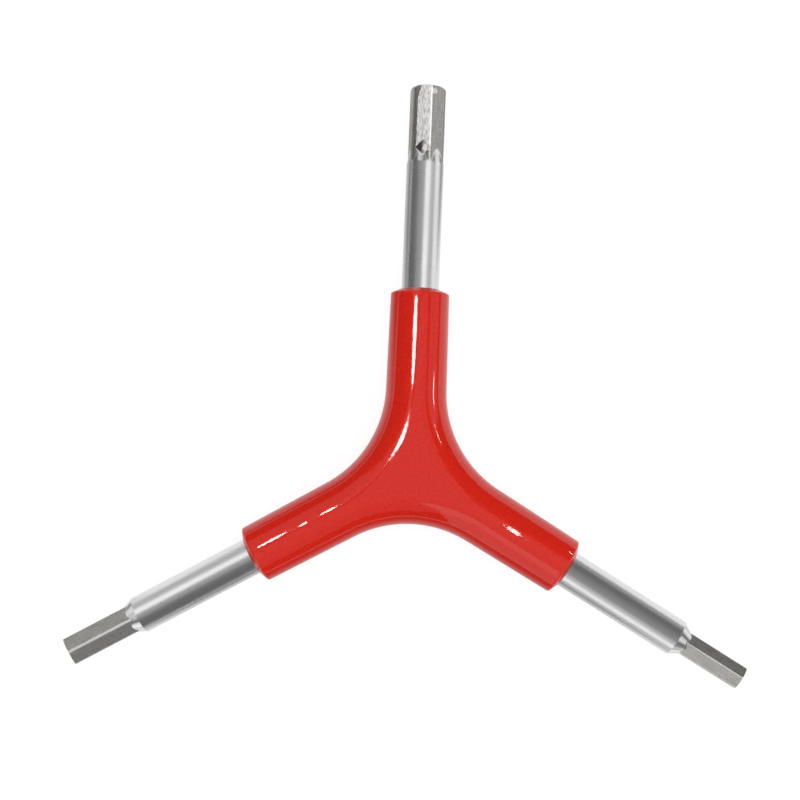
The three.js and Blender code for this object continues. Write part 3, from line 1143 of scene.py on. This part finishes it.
for arm, (name, panels) in enumerate(PANELS.items()):
    aside, outward, upward = arm_frame(arm)
    shank = SHANK_MIDDLE * outward + AXIS_HEIGHT * upward
    level = math.sqrt(1 - OUTWARD_LEAN ** 2)
    for index, (tilt, width, brightness) in enumerate(panels):
        toward = level * turned_from(upward, aside, tilt) + OUTWARD_LEAN * outward
        panel = lamp(f"panel_{name}_{index}", shank + PANEL_DISTANCE * toward, shank, panel_span(width),
                     PANEL_LENGTH, brightness, along=outward)
        lit_only(panel, bpy.data.objects[name + "_bar"])
    print(name, "mirrors", len(panels), "panels")

# %% [markdown]
# The shoulders are cones that face outwards, so they mirror what stands low beyond the tips. Low panels
# light them there, one or two for each arm.

# %% Low panels beyond the tips
# bearing from straight out to the clockwise side, elevation, width and height, all in degrees, and
# brightness
LOW_PANELS = {
    "large_hex": ((-30, 38, 50, 30, 1.0),),
    "middle_hex": ((20, 18, 60, 38, 0.8), (-45, 8, 40, 24, 1.1)),
    "small_hex": ((-4, 12, 26, 24, 1.0),),
}


def low_panel(name, arm, bearing, elevation, width, height, brightness):
    aside, outward, upward = arm_frame(arm)
    tip = ARM_LENGTH * outward + AXIS_HEIGHT * upward
    toward = turned_from(turned_from(outward, aside, bearing), upward, elevation)
    return lamp(name, tip + PANEL_DISTANCE * toward, tip, panel_span(width), panel_span(height),
                brightness, along=upward)


for arm, (name, panels) in enumerate(LOW_PANELS.items()):
    for index, sizes in enumerate(panels):
        panel = low_panel(f"low_panel_{name}_{index}", arm, *sizes)
        lit_only(panel, bpy.data.objects[name + "_bar"])
    print(name, "mirrors", len(panels), "low panels")

# %% [markdown]
# Broad soft panels lie over the handle's gloss as faint veils. One to the lower right takes in the flat of
# the hub, and one beside each arm pales its clockwise side. The other sides keep their deep red.

# %% The veils on the handle
VEIL_DISTANCE = 500 * MM
# bearing and tilt from overhead in degrees, width across that bearing, length up it, and brightness
VEILS = (
    (300, 28, 700 * MM, 700 * MM, 0.35),
    (0, 62, 300 * MM, 340 * MM, 0.5),
    (120, 35, 300 * MM, 430 * MM, 0.45),
    (240, 62, 300 * MM, 700 * MM, 0.8),
)

for index, (bearing, tilt, width, length, brightness) in enumerate(VEILS):
    level = turned_from(Vector((1, 0, 0)), Vector((0, 1, 0)), bearing)
    toward = turned_from(Vector((0, 0, 1)), level, tilt)
    veil = lamp(f"veil_{index}", VEIL_DISTANCE * toward, UNDER_HUB, width, length, brightness, along=level)
    veil.visible_diffuse = False
    lit_only(veil, handle)
print(len(VEILS), "veils hang", VEIL_DISTANCE, "m away")

# %% [markdown]
# The handle's gloss shows a few small bright lamps as white streaks. A streak appears where the lamp's
# mirror image lies, so each lamp is placed by reflection: from the point on the skin where the streak
# should be, the ray from the camera is mirrored at the skin, and the lamp hangs a short way out there. It
# only shows in the gloss, so it adds nothing to the plain light. A close lamp shows in one place only, so
# each streak has its own, and one of them hangs closer than the rest, because from further out it showed in
# three places. The lamps are oval, because the streaks end in points.

# %% Find a place on the handle's skin
BEND_START = bend_start_of(CROTCH_RADIUS + HUB_RADIUS)


def skin_point(arm, along, bend, across):
    """A point on the upper skin, the skin's normal there, and the direction along the handle."""
    aside, outward, upward = arm_frame(arm)
    start = BEND_START if along is None else along * MM
    side = across * MM
    normal = (-side * aside + math.sqrt(HUB_RADIUS ** 2 - side ** 2) * upward) / HUB_RADIUS
    point = start * outward + AXIS_HEIGHT * upward + HUB_RADIUS * normal
    crotch = BEND_START * outward - (CROTCH_RADIUS + HUB_RADIUS) * aside
    turn = turned_about_z(-math.radians(bend)).to_3x3()
    return crotch + turn @ (point - crotch), turn @ normal, turn @ outward


print("the bends start", BEND_START, "m from the hub")

# %% Lamps for the streaks on the handle
GLINT_BRIGHTNESS = 24.0

# arm; distance along it in mm, or none for a place in the bend at its counter-clockwise side; how far round
# the bend in degrees; distance to the counter-clockwise side, and the lamp's length, width and distance from
# the skin, all in mm
GLINTS = (
    (0, 25.4, 0, 0.70, 23.0, 14, 60),
    (0, None, 21.3, 0.50, 5.4, 14, 60),
    (1, 28.9, 0, -0.92, 7.2, 9, 60),
    (1, 22.9, 0, -0.78, 1.6, 9, 60),
    (1, 17.5, 0, -0.85, 4.2, 8, 60),
    (2, 21.8, 0, 0.62, 3.2, 17, 60),
    (0, 16.3, 0, -3.05, 5.5, 3, 60),
    (2, None, 38.7, 2.54, 0.35, 3, 25),
)

for index, (arm, along, bend, across, length, width, distance) in enumerate(GLINTS):
    point, normal, heading = skin_point(arm, along, bend, across)
    view = (camera.location - point).normalized()
    mirrored = 2 * view.dot(normal) * normal - view
    glint = lamp(f"glint_{index}", point + distance * MM * mirrored, point, width * MM, length * MM,
                 GLINT_BRIGHTNESS, along=heading, oval=True)
    glint.visible_diffuse = False
    lit_only(glint, handle)
print(len(GLINTS), "lamps for streaks")
